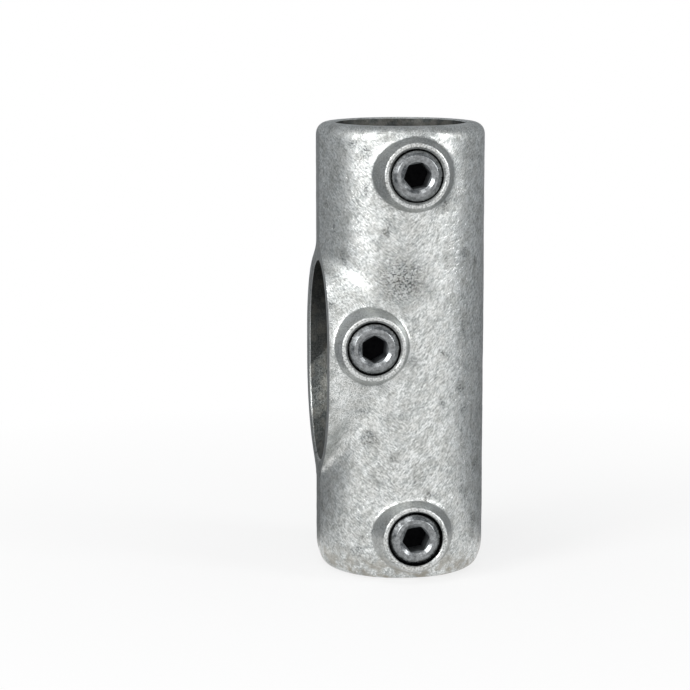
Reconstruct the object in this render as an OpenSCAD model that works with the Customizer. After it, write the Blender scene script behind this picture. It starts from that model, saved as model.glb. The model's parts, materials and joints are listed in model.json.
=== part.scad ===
// Angled tee for round tube: a cast sleeve that takes a tube in each end and a sloping brace
// in the oval socket at its side. A socket set screw grips each of the three tubes.
// The sleeve stands on its lower end, the brace leaves downwards to -X, and the screws face -Y.

/* [Tube] */
// Outside diameter of the tubes that the fitting takes
tube_d = 42.4; // [38:0.1:48.3]
// Gap all round between an end tube and the sleeve's bore
tube_gap = 0.6; // [0.4:0.05:1]
// Gap all round between the brace tube and its socket
brace_gap = 0.5; // [0.35:0.05:0.9]

/* [Sleeve] */
// Length of the sleeve, end to end
sleeve_l = 150.6; // [142:0.2:180]
// Thickness of the cast wall
wall = 6.4; // [5.6:0.1:8]
// Rounding of the sleeve's upper outside edge
top_round = 3.8; // [1:0.1:4.5]
// Height of the rounding of the sleeve's lower outside edge
bottom_round_h = 9; // [8:0.5:10]
// Radius of its wide upper part
bottom_round = 13.6; // [10:0.2:14]
// Radius of its tight lower part, which runs into the end face
foot_round = 4; // [3:0.1:4.2]
// Bevel at both mouths of the bore
bore_bevel = 0.4; // [0.2:0.1:0.8]

/* [Brace socket] */
// Height at which the brace's axis meets the axis of the sleeve
brace_meet_h = 96.4; // [92:0.2:100]
// Flattest slope of the brace, above the level
brace_slope_low = 33; // [28:0.5:38]
// Steepest slope of the brace
brace_slope_high = 46; // [42:0.5:47]
// Thickness of the collar's wall beside the brace
collar_wall = 5.7; // [4.5:0.1:6.4]
// Thickness of the collar's wall below the brace, at the mouth
collar_foot_wall = 2; // [1.5:0.1:3.5]
// Slope of the collar's upper side, above the level
collar_slope_low = 20; // [15:0.5:24]
// Slope of the collar's lower side
collar_slope_high = 36; // [34:0.5:38]
// How far the flat mouth of the collar lies inside the sleeve's outline
mouth_inset = 0.3; // [0:0.1:1.2]

/* [Bosses] */
// Height of a screw boss above the sleeve
boss_h = 4.7; // [3.5:0.1:6]
// Diameter of a boss across its rim
boss_rim_d = 21.2; // [20:0.1:22]
// Diameter of a boss where it meets the front of the sleeve
boss_foot_d = 24.6; // [23:0.1:25.4]
// Rounding of a boss's rim
boss_round = 0.9; // [0.3:0.1:1.1]
// Distance of the two end screws from the ends of the sleeve
end_screw_inset = 15.4; // [14.5:0.1:20]
// Distance of the brace screw from the mouth of the collar
brace_screw_inset = 14; // [13.9:0.1:18]
// How far the brace screw sits below the point where the brace's axis meets the sleeve's
brace_screw_drop = 17.3; // [12:0.1:20]

/* [Set screws] */
// Diameter over the set screw's thread
thread_d = 16.66; // [15:0.02:17]
// Running clearance all round between a screw and its hole
thread_gap = 0.05; // [0.02:0.01:0.08]
// Widening of a screw hole at the boss's rim
hole_bevel = 1.2; // [0.4:0.1:1.4]
// Length of a set screw
screw_l = 11.8; // [11.4:0.1:14]
// How far the point of a screw is drawn back behind the wall of the bore
point_clearance = 0.2; // [0.1:0.05:1.2]
// Width of the hexagon socket across its flats
key_af = 8; // [6:0.5:8.5]
// Depth of the hexagon socket
key_depth = 8; // [5:0.1:8.4]
// Depth of the cone that the socket's drill leaves
drill_cone_h = 1.1; // [0.6:0.1:1.3]
// Width of the countersink round the corners of the socket
key_countersink = 1; // [0.3:0.1:1.2]
// Depth of that countersink
key_countersink_h = 1.2; // [0.5:0.1:1.6]
// Diameter of the crown round the socket, at its sharp corner
crown_d = 13.4; // [13:0.1:14.2]
// Height of the slope from the crown down to the thread
crown_h = 1.7; // [0.8:0.1:2]
// Rounding of the crown's edge
crown_round = 0.5; // [0.2:0.1:0.7]
// Diameter of the cup point's biting edge
cup_d = 10.6; // [9:0.1:12]
// Depth of the hollow in the cup point
cup_depth = 1.3; // [0.8:0.1:1.6]
// Height of the slope from the cup's edge up to the thread
point_slope_h = 2; // [1:0.1:3]

/* [Hidden] */
$fn = 96;

bore_r = tube_d / 2 + tube_gap;
sleeve_r = bore_r + wall;
brace_bore_r = tube_d / 2 + brace_gap;
collar_r = brace_bore_r + collar_wall;
mouth_x = -(sleeve_r - mouth_inset);
// longer than the collar and the brace's room are in any direction
reach = 3 * sleeve_r;
// steps that stand for a whole swing; the sides between them are flat to 0.1 mm
fan_steps = 2;
// slope of the straight part in the sleeve's lower rounding, from the upright
foot_slope = 20;

// lowest point of the brace's room in the mouth, and the height where the collar's axes meet
brace_foot_z = brace_meet_h + mouth_x * tan(brace_slope_high)
    - brace_bore_r / cos(brace_slope_high);
collar_meet_h = brace_foot_z - collar_foot_wall - mouth_x * tan(collar_slope_high)
    + collar_r / cos(collar_slope_high);

brace_screw_x = mouth_x + brace_screw_inset;
brace_screw_z = brace_meet_h - brace_screw_drop;

boss_face_r = sleeve_r + boss_h;
boss_rim_r = boss_rim_d / 2;
boss_foot_r = boss_foot_d / 2;
// how deep a boss is carried into the wall, and how wide its cone is there
boss_root_h = 4;
boss_root_r = boss_foot_r + boss_root_h * (boss_foot_r - boss_rim_r) / boss_h;

hole_r = thread_d / 2;
screw_r = hole_r - thread_gap;
screw_point_y = bore_r + point_clearance;
key_corner_r = key_af / 2 / cos(30);
key_mouth_r = key_corner_r + key_countersink;
key_turn = [10, 30, 8];

casting_grey = [0.74, 0.75, 0.74];
screw_grey = [0.5, 0.5, 0.52];

// half outline of the solid sleeve: its upper edge is one arc, and its lower edge is a wide and a
// tight arc with a short straight part between them that touches both
module sleeve_outline() {
    square_to_slope = [cos(foot_slope), -sin(foot_slope)];
    wide = [sleeve_r - bottom_round, bottom_round_h];
    foot = [
        wide.x + (bottom_round - foot_round - (wide.y - foot_round) * sin(foot_slope)) / cos(foot_slope),
        foot_round
    ];
    top = [sleeve_r - top_round, sleeve_l - top_round];
    low_touch = foot + foot_round * square_to_slope;
    high_touch = wide + bottom_round * square_to_slope;
    polygon([
        [0, 0], [foot.x, 0], low_touch, high_touch,
        [sleeve_r, wide.y], [sleeve_r, top.y], [top.x, sleeve_l], [0, sleeve_l]
    ]);
    translate(foot) circle(r = foot_round);
    translate(top) circle(r = top_round);
    intersection() {
        translate(wide) circle(r = bottom_round);
        translate([0, low_touch.y]) square(reach);
    }
}

// half outline of a cone from radius low_r at low_z to a face at face_z, which it would meet in a
// sharp edge of radius rim_r, were that edge not rounded
module rounded_cone_outline(low_z, low_r, face_z, rim_r, edge_round) {
    slope = (low_r - rim_r) / (face_z - low_z);
    slant = sqrt(1 + slope * slope);
    edge = [rim_r + edge_round * (slope - slant), face_z - edge_round];
    touch = edge + edge_round / slant * [1, slope];
    polygon([[0, low_z], [low_r, low_z], touch, [edge.x, face_z], [0, face_z]]);
    translate(edge) circle(r = edge_round);
}

// turns a shape that is drawn upwards so that it points from the sleeve to the screws
module towards_screws(x, z) {
    translate([x, 0, z]) rotate([90, 0, 0]) children();
}

// the room that a round bar takes up as it turns about the sleeve's axis at height z, pointing
// down to -X, from the slope low to the slope high
module sloping_fan(low, high, r, z) {
    for (step = [0 : fan_steps])
        translate([0, 0, z])
            rotate([0, -90 - low - step * (high - low) / fan_steps, 0])
                cylinder(r = r, h = reach);
}

module collar() {
    intersection() {
        sloping_fan(collar_slope_low, collar_slope_high, collar_r, collar_meet_h);
        translate([mouth_x, -reach, 0]) cube([-mouth_x, 2 * reach, sleeve_l]);
    }
}

module brace_room() {
    sloping_fan(brace_slope_low, brace_slope_high, brace_bore_r, brace_meet_h);
}

module tube_bore() {
    overshoot = 1;
    translate([0, 0, -overshoot])
        cylinder(r = bore_r, h = sleeve_l + 2 * overshoot);
    translate([0, 0, sleeve_l - bore_bevel])
        cylinder(r1 = bore_r, r2 = bore_r + bore_bevel + overshoot, h = bore_bevel + overshoot);
    translate([0, 0, -overshoot])
        cylinder(r1 = bore_r + bore_bevel + overshoot, r2 = bore_r, h = bore_bevel + overshoot);
}

module boss() {
    rotate_extrude()
        rounded_cone_outline(sleeve_r - boss_root_h, boss_root_r, boss_face_r, boss_rim_r, boss_round);
}

module screw_hole() {
    overshoot = 1;
    translate([0, 0, bore_r / 2])
        cylinder(r = hole_r, h = boss_face_r - bore_r / 2 + overshoot);
    translate([0, 0, boss_face_r - hole_bevel])
        cylinder(r1 = hole_r, r2 = hole_r + hole_bevel + overshoot, h = hole_bevel + overshoot);
}

module casting() {
    color(casting_grey)
    difference() {
        union() {
            rotate_extrude() sleeve_outline();
            collar();
            for (place = screw_places()) towards_screws(place.x, place.y) boss();
        }
        tube_bore();
        brace_room();
        for (place = screw_places()) towards_screws(place.x, place.y) screw_hole();
    }
}

// x and height of the upper, brace and lower screws
function screw_places() = [
    [0, sleeve_l - end_screw_inset],
    [brace_screw_x, brace_screw_z],
    [0, end_screw_inset]
];

// a grub screw that stands on its cup point, its socket turned by turn degrees
module set_screw(turn) {
    overshoot = 1;
    shank_l = screw_l - crown_h;
    color(screw_grey)
    difference() {
        rotate_extrude() {
            polygon([
                [0, 0], [cup_d / 2, 0], [screw_r, point_slope_h], [screw_r, shank_l], [0, shank_l]
            ]);
            rounded_cone_outline(shank_l, screw_r, screw_l, crown_d / 2, crown_round);
        }
        translate([0, 0, -overshoot])
            cylinder(r1 = cup_d / 2 * (1 + overshoot / cup_depth), r2 = 0, h = cup_depth + overshoot);
        translate([0, 0, screw_l - key_depth])
            rotate(turn) cylinder(r = key_corner_r, h = key_depth + overshoot, $fn = 6);
        translate([0, 0, screw_l - key_depth - drill_cone_h])
            cylinder(r1 = 0, r2 = key_af / 2, h = drill_cone_h);
        translate([0, 0, screw_l - key_countersink_h])
            cylinder(
                r1 = key_af / 2,
                r2 = key_mouth_r + (key_mouth_r - key_af / 2) * overshoot / key_countersink_h,
                h = key_countersink_h + overshoot
            );
    }
}

module placed_screw(index) {
    towards_screws(screw_places()[index].x, screw_places()[index].y)
        translate([0, 0, screw_point_y])
            set_screw(key_turn[index]);
}

module upper_set_screw() {
    placed_screw(0);
}

module brace_set_screw() {
    placed_screw(1);
}

module lower_set_screw() {
    placed_screw(2);
}

casting();
upper_set_screw();
brace_set_screw();
lower_set_screw();
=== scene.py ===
"""Looks of a cast tee fitting for round tube, with three hexagon socket set screws.

The casting is modelled as a foundry makes it: the sleeve, the brace's collar and the screw bosses
are joined and their corners run together as in sand, then a core leaves the hollows and the screw
holes are drilled. The screws are threaded bar, turned to shape and broached for the key.
"""

import json
import logging
import math
from dataclasses import dataclass
from enum import Enum
from typing import Any, Callable, Sequence

import bpy
import numpy as np
from mathutils import Euler, Matrix, Vector


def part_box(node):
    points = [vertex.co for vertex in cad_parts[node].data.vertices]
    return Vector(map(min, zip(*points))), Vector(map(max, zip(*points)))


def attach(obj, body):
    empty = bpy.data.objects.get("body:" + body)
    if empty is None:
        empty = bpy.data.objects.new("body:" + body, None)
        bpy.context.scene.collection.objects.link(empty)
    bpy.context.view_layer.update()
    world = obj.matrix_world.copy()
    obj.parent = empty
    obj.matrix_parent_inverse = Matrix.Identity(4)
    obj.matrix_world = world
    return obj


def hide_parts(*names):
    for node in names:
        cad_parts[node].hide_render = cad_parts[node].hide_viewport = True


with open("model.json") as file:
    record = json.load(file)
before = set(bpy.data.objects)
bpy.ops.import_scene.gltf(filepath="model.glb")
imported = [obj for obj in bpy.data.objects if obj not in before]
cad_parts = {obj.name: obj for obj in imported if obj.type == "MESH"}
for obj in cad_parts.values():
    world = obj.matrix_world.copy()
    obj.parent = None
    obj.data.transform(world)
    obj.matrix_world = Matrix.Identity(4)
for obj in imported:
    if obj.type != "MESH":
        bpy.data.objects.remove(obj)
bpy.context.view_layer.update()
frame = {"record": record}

MM = 0.001
UP = Vector((0, 0, 1))
SEAM = 0.001 * MM
WEIGHT_STEPS = 20
Outline = list[tuple[float, float]]
log = logging.getLogger("tee_fitting")


class Operation(Enum):
    """What a shape does to the piece that it meets."""

    JOIN = "UNION"
    CUT = "DIFFERENCE"
    KEEP = "INTERSECT"


def make_active(piece: bpy.types.Object) -> None:
    """Select this piece alone and make it the active one.

    Args:
        piece: The object that the next operators act on.
    """
    bpy.ops.object.select_all(action="DESELECT")
    piece.select_set(True)
    bpy.context.view_layer.objects.active = piece


def take_new(name: str) -> bpy.types.Object:
    """Name the primitive that was just added and put its place into its mesh.

    Args:
        name: The piece's name.

    Returns:
        The new piece, with its object at the origin.
    """
    piece = bpy.context.object
    piece.name = name
    make_active(piece)
    bpy.ops.object.transform_apply(location=True, rotation=True, scale=True)
    return piece


def modify(piece: bpy.types.Object, kind: str, **settings: Any) -> None:
    """Add a modifier to a piece and apply it.

    Args:
        piece: The piece to change.
        kind: The modifier's type.
        settings: The modifier's own settings.
    """
    make_active(piece)
    modifier = piece.modifiers.new(kind.lower(), kind)
    for key, value in settings.items():
        setattr(modifier, key, value)
    bpy.ops.object.modifier_apply(modifier=modifier.name)


def combine(piece: bpy.types.Object, other: bpy.types.Object, how: Operation) -> None:
    """Join a closed shape to a piece, cut it out, or keep what both fill, and use it up.

    Args:
        piece: The piece that stays.
        other: The shape that is used up.
        how: What the shape does to the piece.
    """
    modify(piece, "BOOLEAN", object=other, operation=how.value, solver="MANIFOLD")
    bpy.data.objects.remove(other)


def duplicate(piece: bpy.types.Object, name: str) -> bpy.types.Object:
    """Copy a piece with its own mesh.

    Args:
        piece: The piece to copy.
        name: The copy's name.

    Returns:
        The copy.
    """
    make_active(piece)
    bpy.ops.object.duplicate(linked=False)
    twin = bpy.context.object
    twin.name = name
    return twin


def select_points(piece: bpy.types.Object, wanted: Callable[[Vector], bool]) -> None:
    """Select mesh points by their place, and stay in edit mode.

    Args:
        piece: The piece whose points are selected.
        wanted: Says for a place whether its point is selected.
    """
    make_active(piece)
    bpy.ops.object.mode_set(mode="EDIT")
    bpy.ops.mesh.select_mode(type="VERT")
    bpy.ops.mesh.select_all(action="DESELECT")
    bpy.ops.object.mode_set(mode="OBJECT")
    for point in piece.data.vertices:
        point.select = wanted(point.co)
    bpy.ops.object.mode_set(mode="EDIT")


def done_editing() -> None:
    """Leave edit mode."""
    bpy.ops.object.mode_set(mode="OBJECT")


def slice_off(piece: bpy.types.Object, point: Sequence[float], normal: Sequence[float]) -> None:
    """Cut a closed piece with a plane, drop what the normal points at and close the cut.

    Args:
        piece: The piece to cut.
        point: A point of the plane.
        normal: The plane's normal, towards what is dropped.
    """
    make_active(piece)
    bpy.ops.object.mode_set(mode="EDIT")
    bpy.ops.mesh.select_all(action="SELECT")
    bpy.ops.mesh.bisect(plane_co=point, plane_no=normal, use_fill=True, clear_outer=True)
    done_editing()


def add_bar(name: str, radius: float, low: Vector, high: Vector, sides: int) -> bpy.types.Object:
    """Add a round bar between two points.

    Args:
        name: The bar's name.
        radius: Its radius.
        low: Centre of its first end.
        high: Centre of its second end.
        sides: Number of flats that its round side is drawn with.

    Returns:
        The bar.
    """
    along = high - low
    bpy.ops.mesh.primitive_cylinder_add(
        vertices=sides, radius=radius, depth=along.length, location=(low + high) / 2,
        rotation=along.to_track_quat("Z", "Y").to_euler(),
    )
    return take_new(name)


def arc(
    centre: tuple[float, float], radius: float, start: float, stop: float, steps: int
) -> Outline:
    """List the points of an arc in an outline.

    Args:
        centre: Radius and height of its centre.
        radius: The arc's own radius.
        start: Its first angle in degrees, where 0 points outwards and 90 upwards.
        stop: Its last angle.
        steps: Number of straight steps that stand for it.

    Returns:
        The points, from start to stop.
    """
    angles = [math.radians(start + (stop - start) * step / steps) for step in range(steps + 1)]
    return [(centre[0] + radius * math.cos(a), centre[1] + radius * math.sin(a)) for a in angles]


def rounded_cone(
    low: tuple[float, float], face: float, rim: float, edge_round: float, steps: int
) -> Outline:
    """List the outline of a cone that ends in a flat face with a rounded edge.

    Args:
        low: Radius and height of the cone's lower ring.
        face: Height of the flat face.
        rim: Radius that the face would have with a sharp edge.
        edge_round: Radius of the rounding.
        steps: Number of straight steps in the rounding.

    Returns:
        The points, from the lower ring to the edge of the face.
    """
    slope = (low[0] - rim) / (face - low[1])
    centre = (rim + edge_round * (slope - math.hypot(1, slope)), face - edge_round)
    return [low, *arc(centre, edge_round, math.degrees(math.atan(slope)), 90, steps)]


def trace(name: str, outline: Outline) -> bpy.types.Object:
    """Draw an outline as a chain of edges in the XZ plane.

    Args:
        name: The piece's name.
        outline: Its radii and heights.

    Returns:
        The chain.
    """
    bpy.ops.mesh.primitive_plane_add(size=1)
    piece = take_new(name)
    select_points(piece, lambda at: True)
    bpy.ops.mesh.merge(type="CENTER")
    bpy.ops.transform.translate(value=(outline[0][0], 0, outline[0][1]))
    for (radius, height), (next_radius, next_height) in zip(outline, outline[1:]):
        bpy.ops.mesh.extrude_vertices_move(
            TRANSFORM_OT_translate={"value": (next_radius - radius, 0, next_height - height)})
    done_editing()
    return piece


def wind(piece: bpy.types.Object, pitch: float, turns: int, steps: int) -> None:
    """Turn a chain of edges about the Z axis into a shell, with a rise where it has a pitch.

    Args:
        piece: The chain.
        pitch: Rise in each turn.
        turns: Number of turns.
        steps: Number of flats in a turn.
    """
    modify(piece, "SCREW", angle=2 * math.pi, screw_offset=pitch, iterations=turns, steps=steps,
           render_steps=steps, use_merge_vertices=True, merge_threshold=SEAM,
           use_normal_calculate=True)


def close_seams(piece: bpy.types.Object) -> None:
    """Merge the points that lie on each other and turn all faces outwards.

    Args:
        piece: The closed shell.
    """
    select_points(piece, lambda at: True)
    bpy.ops.mesh.remove_doubles(threshold=SEAM)
    bpy.ops.mesh.normals_make_consistent(inside=False)
    done_editing()


def turn(name: str, outline: Outline, sides: int) -> bpy.types.Object:
    """Turn an outline that starts and ends on the Z axis into a solid, as on a lathe.

    Args:
        name: The solid's name.
        outline: Its radii and heights, from the bottom to the top.
        sides: Number of flats round it.

    Returns:
        The solid.
    """
    piece = trace(name, outline)
    wind(piece, 0.0, 1, sides)
    close_seams(piece)
    return piece


def point_forwards(piece: bpy.types.Object, place: Sequence[float]) -> None:
    """Turn a shape that was made upwards so that it points to -Y, and set it in its place.

    Args:
        piece: The shape.
        place: Where its origin goes.
    """
    piece.matrix_world = Matrix.Translation(place) @ Matrix.Rotation(math.radians(90), 4, "X")
    make_active(piece)
    bpy.ops.object.transform_apply(location=True, rotation=True, scale=True)


def read(elements: Any, field: str) -> np.ndarray:
    """Read a vector of each point or face of a mesh as an array of rows.

    Args:
        elements: The mesh's points or faces.
        field: The vector's name.

    Returns:
        One row of x, y and z for each of them.
    """
    flat = np.empty(len(elements) * 3, np.float32)
    elements.foreach_get(field, flat)
    return flat.reshape(-1, 3).astype(float)


def fade(distance: np.ndarray, width: float) -> np.ndarray:
    """Turn distances into weights that fall smoothly from 1 to 0 over a width.

    Args:
        distance: The distances.
        width: Where the weight reaches 0.

    Returns:
        The weights.
    """
    share = np.clip(1 - distance / width, 0, 1)
    return share * share * (3 - 2 * share)


def weigh(piece: bpy.types.Object, name: str, weights: np.ndarray) -> str:
    """Store weights on a piece's points as a vertex group.

    Args:
        piece: The piece.
        name: The group's name.
        weights: One weight for each point.

    Returns:
        The group's name.
    """
    group = piece.vertex_groups.new(name=name)
    steps = np.round(weights * WEIGHT_STEPS).astype(int)
    for step in range(1, WEIGHT_STEPS + 1):
        group.add(np.nonzero(steps == step)[0].tolist(), step / WEIGHT_STEPS, "REPLACE")
    return name


def linear(code: str) -> tuple[float, float, float, float]:
    """Turn an sRGB hex colour into the linear colour that the shaders take.

    Args:
        code: The colour as #rrggbb.

    Returns:
        Red, green, blue and alpha.
    """
    shares = [int(code[i : i + 2], 16) / 255 for i in (1, 3, 5)]
    red, green, blue = (c / 12.92 if c <= 0.04045 else ((c + 0.055) / 1.055) ** 2.4 for c in shares)
    return red, green, blue, 1.0


def add_node(
    tree: bpy.types.NodeTree, kind: str, inputs: dict[str | int, Any], **settings: Any
) -> bpy.types.Node:
    """Add a node to a material with its settings, values and links.

    Args:
        tree: The node tree.
        kind: The node's type.
        inputs: A value or another node's output for each input, by name or number.
        settings: The node's own settings.

    Returns:
        The node.
    """
    node = tree.nodes.new(kind)
    for key, value in settings.items():
        setattr(node, key, value)
    for key, value in inputs.items():
        if isinstance(value, bpy.types.NodeSocket):
            tree.links.new(value, node.inputs[key])
        else:
            node.inputs[key].default_value = value
    return node


def new_material(name: str) -> tuple[bpy.types.Material, bpy.types.NodeTree]:
    """Make a material with an empty node tree.

    Args:
        name: The material's name.

    Returns:
        The material and its tree.
    """
    material = bpy.data.materials.new(name)
    material.use_nodes = True
    material.node_tree.nodes.clear()
    return material, material.node_tree


@dataclass(frozen=True)
class GalvanisedIron:
    """Malleable iron as cast, dipped in molten zinc and left to dull.

    The zinc takes on the grain of the sand mould and sets in fine streaks, which lean to the left
    on one side and to the right on the other, as the zinc ran off. The dark marks among them are
    the zinc's own mottle; the light marks are painted highlights, the glints of the lamps on the
    grainy zinc painted into the colour. Pinholes show as clusters of dark specks, a brownish
    stain with painted shade darkens the lower edge, and edges that are rubbed in handling are
    brighter.
    """

    name: str
    light: str = "#f2f4f3"
    grey: str = "#bfc2c1"
    dark: str = "#8d9190"
    turned: str = "#6f7271"
    pit: str = "#3f4344"
    # brownish stain, which also paints shade at the lower edge
    bloom_and_shade: str = "#9c978c"
    # a grain of moulding sand, and the zinc's streaks with their painted glints, which are drawn as
    # coarse as shows
    facet: float = 0.62 * MM
    glint_stroke: float = 0.27 * MM
    glint_stroke_slants: tuple[float, float] = (-52.0, 42.0)
    glint_stroke_stretch: float = 3.8
    slants_meet: tuple[float, float] = (-16.0 * MM, 8.0 * MM)
    wrapped_radius: float = 28.2 * MM
    cloud: float = 9.0 * MM
    finer_share: float = 0.55
    # how much each pattern counts in the mixed one
    facet_share: float = 0.16
    glint_stroke_share: float = 1.25
    grain_share: float = 0.7
    cloud_share: float = 0.45
    # pinholes gather round one place, from the first distance in, and elsewhere by chance
    cluster: float = 6.5 * MM
    speck: float = 0.62 * MM
    pitted_place: tuple[float, float, float] = (-4.0 * MM, -27.8 * MM, 101.0 * MM)
    pitted_reach: tuple[float, float] = (12.0 * MM, 2.4 * MM)
    patch: float = 3.4 * MM
    # height below which the brownish stain and painted shade grow stronger
    bloom_and_shade_height: float = 11.0 * MM
    bloom_and_shade_elsewhere: float = 0.18
    metallic: float = 0.88
    # of the dark and of the light zinc
    roughness: tuple[float, float] = (0.45, 0.26)
    relief: float = 0.075 * MM
    # strength of the relief on the cast and on the turned skin
    firmness: tuple[float, float] = (1.0, 0.6)

    def roll_out(
        self, tree: bpy.types.NodeTree, place: bpy.types.NodeSocket
    ) -> list[bpy.types.NodeSocket]:
        """Roll the sleeve's side out flat and stretch it along each of the two slants.

        Args:
            tree: The material's node tree.
            place: The place on the object.

        Returns:
            The stretched place for the left and for the right slant.
        """
        split = add_node(tree, "ShaderNodeSeparateXYZ", {"Vector": place}).outputs
        front = add_node(tree, "ShaderNodeMath", {0: split["Y"], 1: -1.0}, operation="MULTIPLY")
        angle = add_node(tree, "ShaderNodeMath", {0: split["X"], 1: front.outputs[0]},
                         operation="ARCTAN2")
        round_it = add_node(tree, "ShaderNodeMath", {0: angle.outputs[0], 1: self.wrapped_radius},
                            operation="MULTIPLY")
        level = add_node(tree, "ShaderNodeVectorMath", {0: place, 1: Vector((1, 1, 0))},
                         operation="MULTIPLY")
        off_axis = add_node(tree, "ShaderNodeVectorMath", {0: level.outputs["Vector"]},
                            operation="LENGTH")
        flat = add_node(tree, "ShaderNodeCombineXYZ", {
            "X": round_it.outputs[0], "Y": off_axis.outputs["Value"], "Z": split["Z"]})
        return [
            add_node(tree, "ShaderNodeMapping", {
                "Vector": flat.outputs["Vector"], "Rotation": Euler((0, math.radians(slant), 0)),
                "Scale": Vector((1, 1, self.glint_stroke_stretch)),
            }, vector_type="TEXTURE").outputs["Vector"]
            for slant in self.glint_stroke_slants]

    def glint_strokes(
        self, tree: bpy.types.NodeTree, place: bpy.types.NodeSocket, clouds: bpy.types.NodeSocket
    ) -> tuple[bpy.types.NodeSocket, bpy.types.NodeSocket]:
        """Draw the zinc's slanting streaks, whose light side is painted glints, and the flat facets
        between them.

        Args:
            tree: The material's node tree.
            place: The place on the object.
            clouds: Large soft patches, which make the line ragged where the slants meet.

        Returns:
            The streaks with their painted glints, and the facets.
        """
        to_left, to_right = self.roll_out(tree, place)
        cells = add_node(tree, "ShaderNodeTexVoronoi", {
            "Vector": to_right, "Scale": 1 / self.facet, "Randomness": 1.0})
        facets = add_node(tree, "ShaderNodeSeparateColor", {"Color": cells.outputs["Color"]})
        left, right = (
            add_node(tree, "ShaderNodeTexNoise", {
                "Vector": vector, "Scale": 1 / self.glint_stroke, "Detail": 1.0,
                "Roughness": self.finer_share,
            }).outputs["Fac"]
            for vector in (to_left, to_right))
        across = add_node(tree, "ShaderNodeSeparateXYZ", {"Vector": place}).outputs["X"]
        side = add_node(tree, "ShaderNodeMapRange", {
            "Value": across, "From Min": self.slants_meet[0], "From Max": self.slants_meet[1],
            "To Min": -0.5, "To Max": 0.5})
        ragged = add_node(tree, "ShaderNodeMath", {0: side.outputs[0], 1: clouds}, operation="ADD")
        share = add_node(tree, "ShaderNodeMapRange", {
            "Value": ragged.outputs[0], "From Min": 0.42, "From Max": 0.58})
        glint_strokes = add_node(tree, "ShaderNodeMix", {0: share.outputs[0], 2: left, 3: right})
        return glint_strokes.outputs[0], facets.outputs["Red"]

    def pitting(
        self, tree: bpy.types.NodeTree, place: bpy.types.NodeSocket, turned: bpy.types.NodeSocket
    ) -> tuple[bpy.types.NodeSocket, bpy.types.NodeSocket]:
        """Mark where pinholes gather, and the pinholes themselves.

        Args:
            tree: The material's node tree.
            place: The place on the object.
            turned: Where the skin was turned off, which has no pinholes.

        Returns:
            The clusters and the pinholes.
        """
        chance, specks = (
            add_node(tree, "ShaderNodeTexNoise", {
                "Vector": place, "Scale": 1 / size, "Detail": detail,
                "Roughness": self.finer_share,
            }).outputs["Fac"]
            for size, detail in ((self.cluster, 2.0), (self.speck, 3.0)))
        away = add_node(tree, "ShaderNodeVectorMath", {0: place, 1: Vector(self.pitted_place)},
                        operation="DISTANCE").outputs["Value"]
        by_chance, near, holes = (
            add_node(tree, "ShaderNodeMapRange", {
                "Value": pattern, "From Min": begins, "From Max": full, "To Max": most,
            }).outputs[0]
            for pattern, (begins, full), most in (
                (chance, (0.54, 0.70), 0.8),
                (away, self.pitted_reach, 1.0),
                (specks, (0.51, 0.55), 1.0)))
        either = add_node(tree, "ShaderNodeMath", {0: by_chance, 1: near}, operation="MAXIMUM")
        cast = add_node(tree, "ShaderNodeMath", {0: 1.0, 1: turned}, operation="SUBTRACT")
        clusters = add_node(tree, "ShaderNodeMath", {0: either.outputs[0], 1: cast.outputs[0]},
                            operation="MULTIPLY").outputs[0]
        pits = add_node(tree, "ShaderNodeMath", {0: holes, 1: clusters}, operation="MULTIPLY")
        return clusters, pits.outputs[0]

    def build(self) -> bpy.types.Material:
        """Make the material.

        Returns:
            The material.
        """
        material, tree = new_material(self.name)
        place = add_node(tree, "ShaderNodeTexCoord", {}).outputs["Object"]
        turned, worn = (
            add_node(tree, "ShaderNodeAttribute", {}, attribute_name=name).outputs["Fac"]
            for name in ("turned", "worn"))
        grain, clouds, patches = (
            add_node(tree, "ShaderNodeTexNoise", {
                "Vector": place, "Scale": 1 / size, "Detail": 3.0, "Roughness": self.finer_share,
            }).outputs["Fac"]
            for size in (self.facet, self.cloud, self.patch))
        glint_strokes, facets = self.glint_strokes(tree, place, clouds)
        clusters, pits = self.pitting(tree, place, turned)

        # the first sum sets the tone and the gloss, the second is the height of the skin
        sums: list[Any] = []
        for shares in (
                ((facets, self.facet_share), (glint_strokes, self.glint_stroke_share),
                 (grain, self.grain_share), (clouds, self.cloud_share)),
                ((glint_strokes, 1.0), (grain, 0.5), (facets, 0.25), (pits, -1.0))):
            total: Any = 0.0
            for pattern, weight in shares:
                total = add_node(tree, "ShaderNodeMath", {0: pattern, 1: weight, 2: total},
                                 operation="MULTIPLY_ADD").outputs[0]
            sums.append(total)
        mixed, height = sums

        up = add_node(tree, "ShaderNodeSeparateXYZ", {"Vector": place}).outputs["Z"]
        low_down, firmness, rough = (
            add_node(tree, "ShaderNodeMapRange", {
                "Value": pattern, "From Min": begins, "From Max": full,
                "To Min": first, "To Max": last}).outputs[0]
            for pattern, (begins, full), (first, last) in (
                (up, (self.bloom_and_shade_height, 0.0), (self.bloom_and_shade_elsewhere, 1.0)),
                (turned, (0.0, 1.0), self.firmness),
                (mixed, (1.0, 1.6), self.roughness)))

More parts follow.
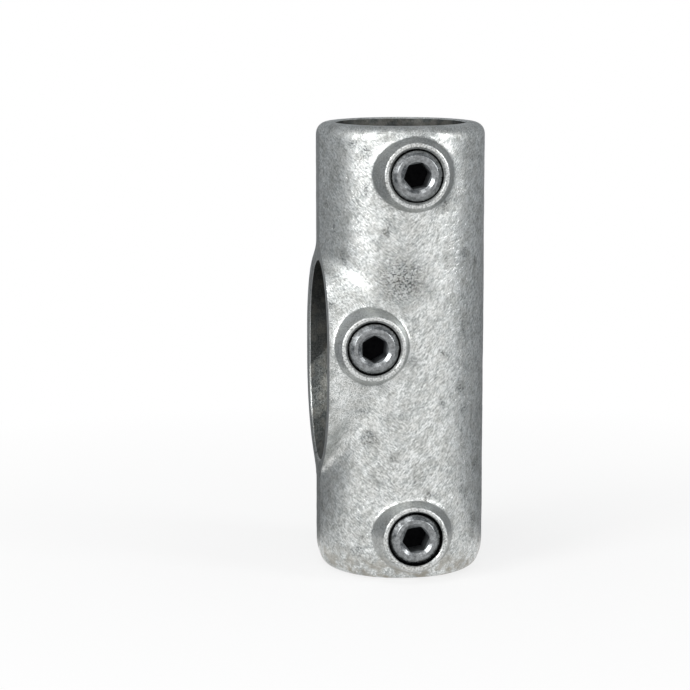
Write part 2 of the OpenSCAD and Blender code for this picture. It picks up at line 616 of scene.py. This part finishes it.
        # each layer: its pattern, where that begins and is full, its strength, mask and colour
        tone: Any = linear(self.dark)
        for pattern, (begins, full), strength, mask, colour in (
                (mixed, (0.95, 1.24), 1.0, 1.0, self.grey),
                # light layer: painted highlights, the glints of the lamps on the grainy zinc
                (mixed, (1.22, 1.55), 1.0, 1.0, self.light),
                (turned, (0.0, 1.0), 0.5, 1.0, self.turned),
                (clusters, (0.0, 1.0), 0.42, 1.0, self.dark),
                (pits, (0.0, 1.0), 0.95, 1.0, self.pit),
                # brownish patches, darker towards the bottom edge: stain and painted shade
                (patches, (0.42, 0.60), 1.0, low_down, self.bloom_and_shade),
                (grain, (0.40, 0.58), 0.8, worn, self.light)):
            amount = add_node(tree, "ShaderNodeMapRange", {
                "Value": pattern, "From Min": begins, "From Max": full, "To Max": strength})
            share = add_node(tree, "ShaderNodeMath", {0: amount.outputs[0], 1: mask},
                             operation="MULTIPLY")
            tone = add_node(tree, "ShaderNodeMix", {
                0: share.outputs[0], 6: tone, 7: linear(colour)}, data_type="RGBA").outputs[2]

        bump = add_node(tree, "ShaderNodeBump", {
            "Height": height, "Distance": self.relief, "Strength": firmness})
        shader = add_node(tree, "ShaderNodeBsdfPrincipled", {
            "Base Color": tone, "Roughness": rough, "Metallic": self.metallic,
            "Normal": bump.outputs["Normal"]})
        add_node(tree, "ShaderNodeOutputMaterial", {"Surface": shader.outputs[0]})
        return material


@dataclass(frozen=True)
class TurnedSteel:
    """Free-cutting steel, turned and thinly plated: an even shine with a faint, soft mottle."""

    name: str
    colour: str
    worn: str
    roughness: tuple[float, float]
    mottle: float = 1.3 * MM
    relief: float = 0.014 * MM

    def build(self) -> bpy.types.Material:
        """Make the material.

        Returns:
            The material.
        """
        material, tree = new_material(self.name)
        place = add_node(tree, "ShaderNodeTexCoord", {}).outputs["Object"]
        patches = add_node(tree, "ShaderNodeTexNoise", {
            "Vector": place, "Scale": 1 / self.mottle, "Detail": 4.0, "Roughness": 0.6})
        share = add_node(tree, "ShaderNodeMapRange", {
            "Value": patches.outputs["Fac"], "From Min": 0.36, "From Max": 0.66})
        tone = add_node(tree, "ShaderNodeMix", {
            0: share.outputs[0], 6: linear(self.colour), 7: linear(self.worn)}, data_type="RGBA")
        rough = add_node(tree, "ShaderNodeMapRange", {
            "Value": patches.outputs["Fac"], "From Min": 0.3, "From Max": 0.7,
            "To Min": self.roughness[0], "To Max": self.roughness[1]})
        bump = add_node(tree, "ShaderNodeBump", {
            "Height": patches.outputs["Fac"], "Distance": self.relief, "Strength": 1.0})
        shader = add_node(tree, "ShaderNodeBsdfPrincipled", {
            "Base Color": tone.outputs[2], "Roughness": rough.outputs[0], "Metallic": 1.0,
            "Normal": bump.outputs["Normal"]})
        add_node(tree, "ShaderNodeOutputMaterial", {"Surface": shader.outputs[0]})
        return material


@dataclass
class Casting:
    """The galvanised casting: sleeve, collar of the brace's socket and three screw bosses."""

    skin: bpy.types.Material
    # a darker copy of the zinc: painted shade in the bore and the brace's room
    inside: bpy.types.Material
    # black, painted shade in the countersinks and the threads of the screw holes
    tapped_shade: bpy.types.Material
    length: float
    radius: float
    bore_radius: float
    boss_places: list[tuple[float, float]]
    painted_shade_radii: list[float]
    turned_shares: list[float]
    top_round: float = 3.8 * MM
    bottom_height: float = 9.0 * MM
    bottom_round: float = 13.6 * MM
    foot_round: float = 4.0 * MM
    foot_slope: float = 20.0
    bore_bevel: float = 0.4 * MM
    mouth_x: float = -27.9 * MM
    mouth_bevel: float = 0.5 * MM
    mouth_spare: float = 4.0 * MM
    collar_radius: float = 27.4 * MM
    collar_slopes: tuple[float, float] = (20.0, 36.0)
    collar_meet: float = 88.45 * MM
    brace_radius: float = 21.7 * MM
    brace_slopes: tuple[float, float] = (33.0, 46.0)
    brace_meet: float = 96.4 * MM
    boss_face: float = 32.9 * MM
    boss_rim_radius: float = 10.6 * MM
    boss_foot_radius: float = 12.3 * MM
    boss_root: float = 24.2 * MM
    boss_round: float = 0.9 * MM
    boss_blank_gap: float = 0.2 * MM
    hole_radius: float = 8.33 * MM
    hole_bevel: float = 1.2 * MM
    wedge_inset: float = 0.02 * MM
    sleeve_spare: float = 0.15 * MM
    voxel: float = 0.64 * MM
    # how wide the corners run together, and how often they are smoothed
    collar_corner: float = 7.0 * MM
    collar_heights: tuple[float, float] = (25.0 * MM, 120.0 * MM)
    collar_softening: int = 110
    boss_corner: float = 3.4 * MM
    boss_clear: float = 3.0 * MM
    boss_top_kept: float = 3.2 * MM
    boss_softening: int = 26
    last_softening: int = 4
    # width and depth of the waves in the skin, which fade towards the sleeve's ends
    waves: tuple[tuple[float, float], ...] = (
        (14.0 * MM, 0.20 * MM), (3.2 * MM, 0.09 * MM), (1.7 * MM, 0.05 * MM))
    wave_fade: float = 5.0 * MM
    wave_at_ends: float = 0.1
    # how far off its true surface the skin still counts as bored, cored, turned or milled
    bore_near: float = 0.1 * MM
    room_near: float = 0.08 * MM
    boss_near: float = 0.12 * MM
    mouth_near: float = 0.02 * MM
    rubbed_in: float = 0.3 * MM
    rubbed_widths: tuple[float, float] = (0.9 * MM, 0.8 * MM)
    crease: float = 42.0
    sides: int = 192
    boss_sides: int = 144
    foot_steps: int = 7
    bottom_steps: int = 5
    top_steps: int = 8
    rim_steps: int = 6

    @property
    def boss_taper(self) -> float:
        """How much the bosses widen for each unit of depth."""
        return (self.boss_foot_radius - self.boss_rim_radius) / (self.boss_face - self.radius)

    def swept_bar(
        self, radius: float, slopes: tuple[float, float], meet: float, name: str
    ) -> bpy.types.Object:
        """Make what a round bar fills that turns about a point of the sleeve's axis.

        It runs down to -X. Between its two end places its sides sweep out a flat wedge.

        Args:
            radius: The bar's radius.
            slopes: Its first and last slope below the level, in degrees.
            meet: Height of the point.
            name: The shape's name.

        Returns:
            The swept shape.
        """
        start = Vector((0, 0, meet))
        reach = 3 * self.radius
        bpy.ops.mesh.primitive_cube_add(
            size=1, location=(-reach / 4, 0, meet),
            scale=(reach, 2 * radius - self.wedge_inset, 2 * reach))
        shape = take_new(name)
        for slope, side in zip(map(math.radians, slopes), (1, -1)):
            slice_off(shape, start, (-side * math.sin(slope), 0, side * math.cos(slope)))
        for slope in map(math.radians, slopes):
            end = start + reach * Vector((-math.cos(slope), 0, -math.sin(slope)))
            combine(shape, add_bar("bar", radius, start, end, self.sides), Operation.JOIN)
        return shape

    def sleeve(self) -> bpy.types.Object:
        """Turn the solid sleeve: its lower edge is a wide arc that runs into a tight one.

        Returns:
            The sleeve.
        """
        slope = math.radians(self.foot_slope)
        wide = (self.radius - self.bottom_round, self.bottom_height)
        foot = (wide[0] + (self.bottom_round - self.foot_round
                           - (wide[1] - self.foot_round) * math.sin(slope)) / math.cos(slope),
                self.foot_round)
        top = (self.radius - self.top_round, self.length - self.top_round)
        return turn("casting_skin", [
            (0, 0),
            *arc(foot, self.foot_round, -90, -self.foot_slope, self.foot_steps),
            *arc(wide, self.bottom_round, -self.foot_slope, 0, self.bottom_steps),
            *arc(top, self.top_round, 0, 90, self.top_steps),
            (0, self.length),
        ], self.sides)

    def boss(self, x: float, z: float, smaller: float = 0.0) -> bpy.types.Object:
        """Turn a screw boss with its rounded rim.

        Args:
            x: Where its axis lies across the sleeve.
            z: Height of its axis.
            smaller: How much it is smaller all round.

        Returns:
            The boss.
        """
        root = self.boss_foot_radius + self.boss_taper * (self.radius - self.boss_root) - smaller
        cone = turn("boss", [
            (0, self.boss_root),
            *rounded_cone((root, self.boss_root), self.boss_face - smaller,
                          self.boss_rim_radius - smaller, self.boss_round, self.rim_steps),
            (0, self.boss_face - smaller),
        ], self.boss_sides)
        point_forwards(cone, (x, 0, z))
        return cone

    def solid(self) -> bpy.types.Object:
        """Join sleeve, collar and boss blanks, and draw the result with even small faces.

        Returns:
            The solid casting, its corners still sharp.
        """
        body = self.sleeve()
        collar = self.swept_bar(
            self.collar_radius, self.collar_slopes, self.collar_meet, "collar")
        slice_off(collar, (self.mouth_x - self.mouth_spare, 0, 0), (-1, 0, 0))
        combine(body, collar, Operation.JOIN)
        for x, z in self.boss_places:
            combine(body, self.boss(x, z, self.boss_blank_gap), Operation.JOIN)
        modify(body, "REMESH", mode="VOXEL", voxel_size=self.voxel)
        return body

    def bar_distance(
        self, at: np.ndarray, radius: float, slopes: tuple[float, float], meet: float
    ) -> np.ndarray:
        """Measure how far points lie from the side of a swept bar.

        Args:
            at: The points.
            radius: The bar's radius.
            slopes: Its first and last slope, in degrees.
            meet: Height where it meets the sleeve's axis.

        Returns:
            The distance of each point from the bar's side.
        """
        above, below = (
            side * (-math.sin(slope) * at[:, 0] + math.cos(slope) * (at[:, 2] - meet))
            for slope, side in zip(map(math.radians, slopes), (1, -1)))
        beside = np.maximum(0, np.maximum(above, below))
        return np.abs(np.hypot(beside, at[:, 1]) - radius)

    def boss_offsets(self, at: np.ndarray) -> list[np.ndarray]:
        """Measure how far points lie beside the cones of the bosses.

        Args:
            at: The points.

        Returns:
            For each boss the distance of each point outside its cone, below 0 inside it.
        """
        cone = self.boss_foot_radius + self.boss_taper * (self.radius + at[:, 1])
        front = at[:, 1] < -self.bore_radius / 2
        return [np.where(front, np.hypot(at[:, 0] - x, at[:, 2] - z) - cone, np.inf)
                for x, z in self.boss_places]

    def run_corners_together(self, body: bpy.types.Object) -> None:
        """Soften the corners as sand does: wide in the collar's, narrow at the bosses' feet.

        Args:
            body: The solid casting.
        """
        at = read(body.data.vertices, "co")
        from_sleeve = np.abs(np.hypot(at[:, 0], at[:, 1]) - self.radius)
        from_collar = self.bar_distance(
            at, self.collar_radius, self.collar_slopes, self.collar_meet)
        from_boss = np.abs(np.minimum.reduce(self.boss_offsets(at)))
        above = self.boss_face + at[:, 1]

        lowest, highest = self.collar_heights
        corner = fade(np.hypot(from_sleeve, from_collar), self.collar_corner)
        corner *= 1 - fade(from_boss, self.boss_clear)
        corner *= (at[:, 0] < 0) & (at[:, 2] > lowest) & (at[:, 2] < highest)
        foot = fade(from_boss, self.boss_corner) * (1 - fade(above, self.boss_top_kept))
        for name, weights, times in (
                ("collar_corner", corner, self.collar_softening),
                ("boss_foot", foot, self.boss_softening)):
            modify(body, "SMOOTH", factor=0.5, iterations=times,
                   vertex_group=weigh(body, name, weights))
        modify(body, "SMOOTH", factor=0.5, iterations=self.last_softening)

    def roughen(self, body: bpy.types.Object) -> None:
        """Give the skin the gentle waves that a sand mould and thick zinc leave.

        Args:
            body: The solid casting with soft corners.
        """
        at = read(body.data.vertices, "co")
        from_ends = np.minimum(at[:, 2], self.length - at[:, 2])
        inner = 1 - fade(from_ends, self.wave_fade)
        group = weigh(body, "skin", inner * (1 - self.wave_at_ends) + self.wave_at_ends)
        for size, depth in self.waves:
            cloud = bpy.data.textures.new("cast_wave", "CLOUDS")
            cloud.noise_scale = size
            modify(body, "DISPLACE", texture=cloud, texture_coords="LOCAL", strength=depth,
                   mid_level=0.5, vertex_group=group)

    def mouth_waste(self) -> bpy.types.Object:
        """Make the block that is milled off the collar's end, up to the sleeve's round side.

        Returns:
            The cutting shape.
        """
        reach = 2 * self.radius
        bpy.ops.mesh.primitive_cube_add(
            size=1, location=(self.mouth_x - reach / 2, 0, self.length / 2),
            scale=(reach, 2 * reach, self.length / 2 + reach))
        block = take_new("mouth_waste")
        past = Vector((0, 0, reach))
        combine(block, add_bar("sleeve_side", self.radius + self.sleeve_spare, -past,
                               self.length * UP + past, self.sides), Operation.CUT)
        return block

    def core(self) -> bpy.types.Object:
        """Make the core that leaves the bore and the room for the brace.

        Returns:
            The core.
        """
        past = 2 * MM
        wide = self.bore_radius + self.bore_bevel + past
        core = turn("core", [
            (0, -past), (wide, -past), (self.bore_radius, self.bore_bevel),
            (self.bore_radius, self.length - self.bore_bevel),
            (wide, self.length + past), (0, self.length + past),
        ], self.sides)
        room = self.swept_bar(self.brace_radius, self.brace_slopes, self.brace_meet, "room")
        slice_off(room, (self.mouth_x - past, 0, 0), (-1, 0, 0))
        flare = duplicate(room, "mouth_flare")
        slice_off(flare, (self.mouth_x + self.mouth_bevel, 0, 0), (1, 0, 0))
        grow = self.mouth_bevel + past
        outer = [v.co for v in flare.data.vertices if v.co.x < self.mouth_x]
        low, high = min(v.z for v in outer), max(v.z for v in outer)
        select_points(flare, lambda at: at.x < self.mouth_x)
        rise = grow * math.tan(math.radians(sum(self.brace_slopes) / 2))
        bpy.ops.transform.resize(
            value=(1, 1 + grow / self.brace_radius, 1 + 2 * grow / (high - low)),
            center_override=(0, 0, (low + high) / 2))
        bpy.ops.transform.translate(value=(0, 0, rise))
        done_editing()
        combine(room, flare, Operation.JOIN)
        combine(core, room, Operation.JOIN)
        return core

    def screw_hole(self, x: float, z: float, painted_shade_radius: float) -> bpy.types.Object:
        """Make the shape that cuts a screw hole with its countersink.

        Args:
            x: Where its axis lies across the sleeve.
            z: Height of its axis.
            painted_shade_radius: Radius up to which the countersink is painted black, as shade in
                the gap round the screw.

        Returns:
            The cutting shape.
        """
        past = 3 * MM
        rim = self.hole_radius + self.hole_bevel
        drill = turn("drill", [
            (0, self.bore_radius / 2), (self.hole_radius, self.bore_radius / 2),
            (self.hole_radius, self.boss_face - self.hole_bevel),
            (painted_shade_radius, self.boss_face - (rim - painted_shade_radius)),
            (rim + past, self.boss_face + past), (0, self.boss_face + past),
        ], self.boss_sides)
        point_forwards(drill, (x, 0, z))
        return drill

    def dress(self, body: bpy.types.Object) -> None:
        """Finish the casting: zinc outside, a darker copy of the zinc in the bore and the brace's
        room as painted shade, black as painted shade in the countersinks and threads.

        Args:
            body: The finished shape.
        """
        body.data.materials.clear()
        for material in (self.skin, self.inside, self.tapped_shade):
            body.data.materials.append(material)
        at = read(body.data.polygons, "center")
        from_axis = np.hypot(at[:, 0], at[:, 1])
        from_room = self.bar_distance(at, self.brace_radius, self.brace_slopes, self.brace_meet)
        hollow = (from_axis < self.bore_radius + self.bore_near) | (
            (from_room < self.room_near) & (at[:, 0] > self.mouth_x + self.mouth_bevel / 2)
            & (at[:, 0] < 0))
        finish = hollow.astype(int)
        for (x, z), painted_shade_radius in zip(self.boss_places, self.painted_shade_radii):
            out = np.hypot(at[:, 0] - x, at[:, 2] - z)
            # black: painted shade in the countersink round the screw
            finish[(out < painted_shade_radius) & (at[:, 1] < -self.bore_radius)] = 2
        body.data.polygons.foreach_set("material_index", finish.astype(np.int32))

    def mark_wear(self, body: bpy.types.Object) -> None:
        """Mark the points where the skin was turned off and where its edges are rubbed.

        Args:
            body: The finished shape.
        """
        at = read(body.data.vertices, "co")
        front = at[:, 1] < -self.boss_root
        turned = np.maximum.reduce([
            (off < self.boss_near) * share
            for off, share in zip(self.boss_offsets(at), self.turned_shares)]) * front
        turned = np.maximum(turned, at[:, 0] < self.mouth_x + self.mouth_near)
        worn = np.zeros(len(at))
        rim = self.hole_radius + self.hole_bevel
        for x, z in self.boss_places:
            out = np.hypot(at[:, 0] - x, at[:, 2] - z)
            edge = np.hypot(out - (self.boss_rim_radius - self.rubbed_in),
                            at[:, 1] + self.boss_face - self.rubbed_in)
            mouth = np.hypot(out - rim, at[:, 1] + self.boss_face)
            for away, width in zip((edge, mouth), self.rubbed_widths):
                worn = np.maximum(worn, fade(away, width))
        for name, values in (("turned", turned), ("worn", worn * front)):
            layer = body.data.attributes.new(name, "FLOAT", "POINT")
            layer.data.foreach_set("value", values.astype(np.float32))

    def build(self) -> bpy.types.Object:
        """Make the whole casting.

        Returns:
            The casting.
        """
        body = self.solid()
        self.run_corners_together(body)
        self.roughen(body)
        combine(body, self.mouth_waste(), Operation.CUT)
        for x, z in self.boss_places:
            combine(body, self.boss(x, z), Operation.JOIN)
        combine(body, self.core(), Operation.CUT)
        for (x, z), painted_shade_radius in zip(self.boss_places, self.painted_shade_radii):
            combine(body, self.screw_hole(x, z, painted_shade_radius), Operation.CUT)
        self.dress(body)
        self.mark_wear(body)
        make_active(body)
        bpy.ops.object.shade_smooth_by_angle(angle=math.radians(self.crease))
        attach(body, "casting")
        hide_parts("casting")
        return body


@dataclass
class SetScrew:
    """A headless screw with a pipe thread, a cup point and a hexagon socket."""

    steel: bpy.types.Material
    shaded: bpy.types.Material
    dark: bpy.types.Material
    radius: float = 8.28 * MM
    length: float = 11.8 * MM
    pitch: float = 1.337 * MM
    thread_depth: float = 0.62 * MM
    crest_share: float = 0.16
    crown_radius: float = 6.7 * MM
    crown_height: float = 1.7 * MM
    crown_round: float = 0.5 * MM
    cup_radius: float = 5.3 * MM
    cup_depth: float = 1.3 * MM
    point_height: float = 2.0 * MM
    key_width: float = 8.0 * MM
    key_depth: float = 8.0 * MM
    key_countersink: float = 1.0 * MM
    key_countersink_depth: float = 1.2 * MM
    drill_depth: float = 1.1 * MM
    shade_radius: float = 4.6 * MM
    painted_shade_radius: float = 8.1 * MM
    floor_near: float = 0.1 * MM
    wall_tilt: float = 0.1
    crease: float = 28.0
    sides: int = 144
    thread_sides: int = 72
    drill_sides: int = 48
    mouth_sides: int = 96
    crown_steps: int = 6

    @property
    def key_corner(self) -> float:
        """Radius of the hexagon over its corners."""
        return self.key_width / 2 / math.cos(math.radians(30))

    def blank(self) -> bpy.types.Object:
        """Turn the shape that the thread is cut down to: crown at the top, cup point below.

        Returns:
            The blank.
        """
        shank = (self.radius, self.length - self.crown_height)
        return turn("blank", [
            (0, self.cup_depth), (self.cup_radius, 0), (self.radius, self.point_height),
            *rounded_cone(shank, self.length, self.crown_radius, self.crown_round,
                          self.crown_steps),
            (0, self.length),
        ], self.sides)

    def threaded_bar(self) -> bpy.types.Object:
        """Wind the thread up the Z axis and close it into a bar that is long at both ends.

        Returns:
            The threaded bar.
        """
        root = self.radius - self.thread_depth
        flat = self.crest_share * self.pitch
        flank = self.pitch / 2 - flat
        past = 0.6 * self.pitch
        spare_turns = 2
        rows = [(root, 0), (root, flat), (self.radius, flat + flank),
                (self.radius, 2 * flat + flank), (root, self.pitch)]
        bar = trace("screw", [
            (radius, height - spare_turns * self.pitch) for radius, height in rows])
        turns = math.ceil(self.length / self.pitch) + 2 * spare_turns
        wind(bar, self.pitch, turns, self.thread_sides)
        slice_off(bar, -past * UP, -UP)
        slice_off(bar, (self.length + past) * UP, UP)
        close_seams(bar)
        return bar

    def socket(self, turned: float) -> list[bpy.types.Object]:
        """Make the shapes that cut the key's socket.

        Args:
            turned: How far the hexagon is turned about the screw's axis, in degrees.

        Returns:
            The cutting shapes.
        """
        past = 1 * MM
        bpy.ops.mesh.primitive_cylinder_add(
            vertices=6, radius=self.key_corner, depth=self.key_depth + past,
            location=(self.length - (self.key_depth - past) / 2) * UP,
            rotation=(0, 0, math.radians(turned - 90)),
        )
        hexagon = take_new("hexagon")
        floor = self.length - self.key_depth
        drill = turn("drill", [(0, floor - self.drill_depth), (self.key_width / 2, floor),
                               (0, floor + past)], self.drill_sides)
        wide = self.key_corner + self.key_countersink
        low = (self.key_width / 2, self.length - self.key_countersink_depth)
        widening = (wide - low[0]) / self.key_countersink_depth
        shade = (self.shade_radius, low[1] + (self.shade_radius - low[0]) / widening)
        mouth = turn("mouth", [(0, low[1]), low, shade,
                               (wide + widening * past, self.length + past),
                               (0, self.length + past)], self.mouth_sides)
        return [hexagon, drill, mouth]

    def dress(self, screw: bpy.types.Object, centre: Vector, front: float) -> None:
        """Finish the screw: plated outside; a darker copy of the steel as painted shade on the
        socket's walls and round its mouth; black as painted shade in its floor and threads.

        Args:
            screw: The finished shape in its place.
            centre: Centre of its node.
            front: Where its crown ends, along Y.
        """
        screw.data.materials.clear()
        for material in (self.steel, self.shaded, self.dark):
            screw.data.materials.append(material)
        for face in screw.data.polygons:
            out = math.hypot(face.center.x - centre.x, face.center.z - centre.z)
            depth = face.center.y - front
            wall = abs(face.normal.y) < self.wall_tilt
            # black: painted shade on the thread beside the gap and on the socket's floor
            if out > self.painted_shade_radius:
                face.material_index = 2
            elif out < self.key_corner and depth < self.key_depth + self.drill_depth:
                if depth > self.key_depth - self.floor_near:
                    face.material_index = 2
                # a darker copy of the steel: painted shade on the socket's walls and round its
                # mouth
                elif wall or out < self.shade_radius:
                    face.material_index = 1
        make_active(screw)
        bpy.ops.object.shade_smooth_by_angle(angle=math.radians(self.crease))

    def build(self, node: str, body: str, turned: float) -> bpy.types.Object:
        """Make one screw where its node is.

        Args:
            node: The node that it stands for.
            body: The body that it moves with.
            turned: How far the hexagon is turned, in degrees.

        Returns:
            The screw.
        """
        screw = self.threaded_bar()
        combine(screw, self.blank(), Operation.KEEP)
        for cutter in self.socket(turned):
            combine(screw, cutter, Operation.CUT)
        low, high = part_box(node)
        centre = (low + high) / 2
        point_forwards(screw, (centre.x, high.y, centre.z))
        screw.name = node + "_turned"
        self.dress(screw, centre, low.y)
        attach(screw, body)
        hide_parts(node)
        return screw


@dataclass(frozen=True)
class SoftBox:
    """A lamp with a square of cloth before it, which looks at the middle of the fitting."""

    name: str
    place: tuple[float, float, float]
    size: tuple[float, float]
    power: float

    def build(self, aim: Vector) -> None:
        """Set up the lamp.

        Args:
            aim: What it looks at.
        """
        data = bpy.data.lights.new(self.name, "AREA")
        data.shape = "RECTANGLE"
        data.size, data.size_y = self.size
        data.energy = self.power
        lamp = bpy.data.objects.new(self.name, data)
        bpy.context.scene.collection.objects.link(lamp)
        lamp.location = self.place
        lamp.rotation_mode = "QUATERNION"
        lamp.rotation_quaternion = (aim - Vector(self.place)).to_track_quat("-Z", "Y")


@dataclass(frozen=True)
class Card:
    """A grey card that only reflections see, and that darkens a part of them."""

    turned: float
    distance: float
    foot: float
    lean: float
    size: tuple[float, float]
    grey: str

    def build(self, azimuth: float) -> None:
        """Set up the card.

        Args:
            azimuth: Direction from which the card's own angle is counted, in degrees.
        """
        material, tree = new_material("grey_card")
        matt = add_node(tree, "ShaderNodeBsdfDiffuse", {"Color": linear(self.grey)})
        add_node(tree, "ShaderNodeOutputMaterial", {"Surface": matt.outputs[0]})
        angle, lean = math.radians(azimuth + self.turned), math.radians(self.lean)
        middle = self.distance + self.size[1] / 2 * math.sin(lean)
        bpy.ops.mesh.primitive_plane_add(
            size=1, rotation=(math.radians(90) + lean, 0, angle),
            location=(middle * math.sin(angle), -middle * math.cos(angle),
                      self.foot + self.size[1] / 2 * math.cos(lean)),
            scale=(*self.size, 1))
        card = take_new("card")
        card.data.materials.append(material)
        for ray in ("camera", "diffuse", "transmission", "shadow"):
            setattr(card, f"visible_{ray}", False)


@dataclass
class Studio:
    """Camera, lamps, cards, floor and backdrop."""

    azimuth: float = -8.54
    elevation: float = 9.03
    distance: float = 823.7 * MM
    aim_height: float = 75.1 * MM
    aim_left: float = 18.47 * MM
    pixels_per_metre: float = 2954.0
    picture_width: float = 690.0
    sensor_width: float = 36.0
    clip: tuple[float, float] = (0.01, 50.0)
    room_light: float = 0.45
    room_tone: str = "#fafbfc"
    white: str = "#ffffff"
    floor_tone: str = "#f4f4f4"
    floor_size: float = 30.0
    shadow_reach: tuple[float, float] = (0.06, 0.30)
    shadow_glow: float = 0.75
    # two cards darken the flanks, the third darkens what faces upwards
    cards: tuple[Card, ...] = (
        Card(-142.0, 0.052, 0.5 * MM, 27.0, (0.10, 0.26), "#909396"),
        Card(148.5, 0.052, 0.5 * MM, 27.0, (0.10, 0.26), "#939699"),
        Card(161.0, 0.24, 0.20, -49.0, (0.14, 0.18), "#9a9da0"),
    )
    lamps: tuple[SoftBox, ...] = (
        SoftBox("left_box", (-0.80, -0.55, 0.50), (0.35, 0.50), 5.4),
        SoftBox("right_box", (0.80, -0.55, 0.42), (0.30, 0.40), 3.6),
        SoftBox("top_box", (-0.15, -0.25, 0.95), (0.40, 0.35), 1.5),
    )

    def camera(self) -> None:
        """Set the camera where the photograph was taken from."""
        a, e = math.radians(self.azimuth), math.radians(self.elevation)
        back = Vector((math.sin(a) * math.cos(e), -math.cos(a) * math.cos(e), math.sin(e)))
        right = Vector((math.cos(a), math.sin(a), 0))
        aim = Vector((0, 0, self.aim_height)) - right * self.aim_left
        data = bpy.data.cameras.new("camera")
        data.sensor_width = self.sensor_width
        data.lens = self.pixels_per_metre * self.distance / self.picture_width * self.sensor_width
        camera = bpy.data.objects.new("camera", data)
        bpy.context.scene.collection.objects.link(camera)
        camera.location = aim + back * self.distance
        camera.rotation_mode = "QUATERNION"
        camera.rotation_quaternion = (-back).to_track_quat("-Z", "Y")
        data.clip_start, data.clip_end = self.clip
        bpy.context.scene.camera = camera

    def seen_directly(self, tree: bpy.types.NodeTree) -> bpy.types.NodeSocket:
        """Tell the rays of the camera, of reflections and of clear pieces from those of light.

        Args:
            tree: The node tree that asks.

        Returns:
            1 for such a ray and 0 for any other.
        """
        path = add_node(tree, "ShaderNodeLightPath", {})
        seen = path.outputs["Is Camera Ray"]
        for ray in ("Is Glossy Ray", "Is Transmission Ray"):
            seen = add_node(tree, "ShaderNodeMath", {0: seen, 1: path.outputs[ray]},
                            operation="ADD", use_clamp=True).outputs[0]
        return seen

    def world(self) -> None:
        """Make the surroundings: white where they are seen, a grey room where they give light."""
        world = bpy.data.worlds.new("room")
        bpy.context.scene.world = world
        world.use_nodes = True
        tree = world.node_tree
        tree.nodes.clear()
        room = add_node(tree, "ShaderNodeBackground", {
            "Color": linear(self.room_tone), "Strength": self.room_light})
        white = add_node(tree, "ShaderNodeBackground", {
            "Color": linear(self.white), "Strength": 1.0})
        mixed = add_node(tree, "ShaderNodeMixShader", {
            0: self.seen_directly(tree), 1: room.outputs[0], 2: white.outputs[0]})
        add_node(tree, "ShaderNodeOutputWorld", {"Surface": mixed.outputs[0]})

    def floor(self) -> None:
        """Lay a white floor that keeps the object's shadow and fades to plain white round it."""
        bpy.ops.mesh.primitive_plane_add(size=self.floor_size)
        floor = take_new("floor")
        material, tree = new_material("white_floor")
        place = add_node(tree, "ShaderNodeTexCoord", {}).outputs["Object"]
        away = add_node(tree, "ShaderNodeVectorMath", {0: place}, operation="LENGTH")
        white = add_node(tree, "ShaderNodeMapRange", {
            "Value": away.outputs["Value"], "From Min": self.shadow_reach[0],
            "From Max": self.shadow_reach[1], "To Min": self.shadow_glow, "To Max": 1.0})
        share = add_node(tree, "ShaderNodeMath", {
            0: self.seen_directly(tree), 1: white.outputs[0]}, operation="MULTIPLY")
        matt = add_node(tree, "ShaderNodeBsdfDiffuse", {"Color": linear(self.floor_tone)})
        glow = add_node(tree, "ShaderNodeEmission", {"Color": linear(self.white), "Strength": 1.0})
        mixed = add_node(tree, "ShaderNodeMixShader", {
            0: share.outputs[0], 1: matt.outputs[0], 2: glow.outputs[0]})
        add_node(tree, "ShaderNodeOutputMaterial", {"Surface": mixed.outputs[0]})
        floor.data.materials.append(material)

    def build(self) -> None:
        """Set up everything round the object."""
        bpy.context.scene.view_settings.view_transform = "Standard"
        self.camera()
        self.world()
        self.floor()
        for card in self.cards:
            card.build(self.azimuth)
        for lamp in self.lamps:
            lamp.build(self.aim_height * UP)


@dataclass(frozen=True)
class Station:
    """A boss with its set screw: how the hexagon is turned, how far painted shade blackens its
    countersink, and how the boss is finished.
    """

    node: str
    body: str
    hexagon_turn: float
    # radius up to which the countersink is painted black as shade
    painted_shade_radius: float
    turned_share: float


STATIONS = (
    Station("upper_set_screw", "upper_screw", 10.0, 8.72 * MM, 1.0),
    Station("brace_set_screw", "brace_screw", 30.0, 8.83 * MM, 0.7),
    Station("lower_set_screw", "lower_screw", 8.0, 9.1 * MM, 0.8),
)


def main() -> None:
    """Build the fitting and its surroundings, and report each piece."""
    logging.basicConfig(level=logging.INFO, format="%(name)s: %(message)s")
    Studio().build()
    low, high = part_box("casting")
    sockets = {mount["name"]: mount for mount in frame["record"]["mounts"]}
    centres = [sum(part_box(station.node), Vector()) / 2 for station in STATIONS]
    steel = TurnedSteel("plated_steel", "#727475", "#a1a4a6", (0.18, 0.32)).build()
    # a darker copy of the steel as painted shade in the sockets, and black painted shade in floors,
    # threads and countersinks
    shaded = TurnedSteel("broached_steel_in_shade", "#55585a", "#707375", (0.6, 0.75)).build()
    dark = TurnedSteel("painted_shade_steel", "#060607", "#141415", (0.35, 0.6)).build()
    casting = Casting(
        skin=GalvanisedIron("galvanised_iron").build(),
        # a darker copy of the zinc: painted shade in the hollows; the higher roughness is the
        # duller zinc there
        inside=GalvanisedIron("galvanised_iron_shaded_inside", light="#626564", grey="#4a4d4c",
                              dark="#333635", roughness=(0.65, 0.45)).build(),
        tapped_shade=dark,
        length=high.z - low.z,
        radius=high.x,
        bore_radius=sockets["upper_socket"]["dims"]["r_mm"] * MM,
        boss_places=[(centre.x, centre.z) for centre in centres],
        painted_shade_radii=[station.painted_shade_radius for station in STATIONS],
        turned_shares=[station.turned_share for station in STATIONS],
    ).build()
    log.info("%s: %d faces", casting.name, len(casting.data.polygons))
    for station in STATIONS:
        screw = SetScrew(steel, shaded, dark).build(
            station.node, station.body, station.hexagon_turn)
        log.info("%s: %d faces", screw.name, len(screw.data.polygons))


if __name__ == "__main__":
    main()
